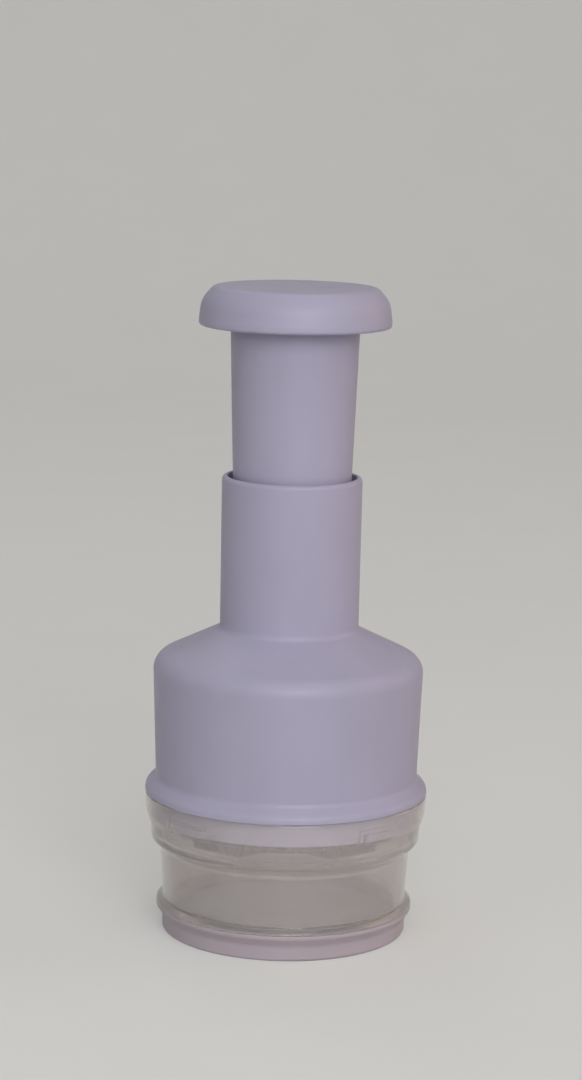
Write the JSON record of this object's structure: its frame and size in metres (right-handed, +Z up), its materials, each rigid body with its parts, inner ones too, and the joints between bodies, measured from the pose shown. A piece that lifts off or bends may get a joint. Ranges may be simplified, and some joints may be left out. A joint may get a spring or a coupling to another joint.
{
  "type": "plunger food chopper",
  "caption": "Hand chopper with a round palm knob on a sprung plunger, a bottle-shaped housing, a clear chopping chamber with zigzag blades and a round base cup.",
  "frame": {"origin": "centre of the base cup's foot, on the table", "axes": "+Z up along the plunger; the front blade lies towards -Y"},
  "size_m": [0.088, 0.088, 0.2014],
  "materials": {
    "white_plastic": "pale lavender white moulded plastic, satin",
    "mat_plastic": "soft off-white cutting mat",
    "clear_plastic": "clear moulded plastic, slightly clouded",
    "shaft_steel": "turned and milled stainless steel",
    "screw_steel": "bright zinc-plated steel",
    "spring_steel": "drawn spring wire",
    "blade_steel": "ground stainless strip",
    "acetal": "natural acetal",
    "brass": "turned brass"
  },
  "bodies": {
    "base": {"base_cup": "white_plastic", "cutting_mat": "mat_plastic"},
    "chamber": {"chopping_chamber": "clear_plastic"},
    "housing": {"upper_housing": "white_plastic", "wiper_ring": "white_plastic", "stop_ring": "white_plastic", "ratchet_seat": "acetal", "index_nut": "acetal", "nut_cover": "acetal", "return_spring": "spring_steel"},
    "plunger": {"plunger_tube": "white_plastic", "shaft_bush": "brass", "thrust_washer": "shaft_steel", "spring_washer": "shaft_steel", "knob_plate": "white_plastic", "palm_knob": "white_plastic", "knob_screws": "screw_steel"},
    "cutter": {"drive_shaft": "shaft_steel", "blade_hub": "white_plastic", "hub_screw": "screw_steel", "blade_front": "blade_steel", "blade_middle": "blade_steel", "blade_rear": "blade_steel", "retaining_clip": "spring_steel"},
    "wiper": {"wiper_disc": "white_plastic"}
  },
  "joints": [
    {"name": "chamber_lift", "type": "slide", "parent": "base", "child": "chamber", "axis": [0, 0, 1], "range_m": [0, 0.03]},
    {"name": "housing_twist", "type": "hinge", "parent": "chamber", "child": "housing", "pos_m": [0, 0, 0.0368], "axis": [0, 0, 1], "range_deg": [0, 22]},
    {"name": "plunger_press", "type": "slide", "parent": "housing", "child": "plunger", "axis": [0, 0, -1], "range_m": [0, 0.02415], "stiffness_N_per_m": 280, "springref_m": -0.028, "deforming": ["return_spring"]},
    {"name": "cutter_turn", "type": "hinge", "parent": "plunger", "child": "cutter", "pos_m": [0, 0, 0.1872], "axis": [0, 0, 1], "range_deg": [-31, 0]},
    {"name": "wiper_turn", "type": "hinge", "parent": "housing", "child": "wiper", "pos_m": [0, 0, 0.0382], "axis": [0, 0, 1], "range_deg": [-31, 0]}
  ],
  "couplings": [
    {"joint": "cutter_turn", "follows": "plunger_press", "rad_per_m": -21.681},
    {"joint": "wiper_turn", "follows": "plunger_press", "rad_per_m": -21.681}
  ]
}
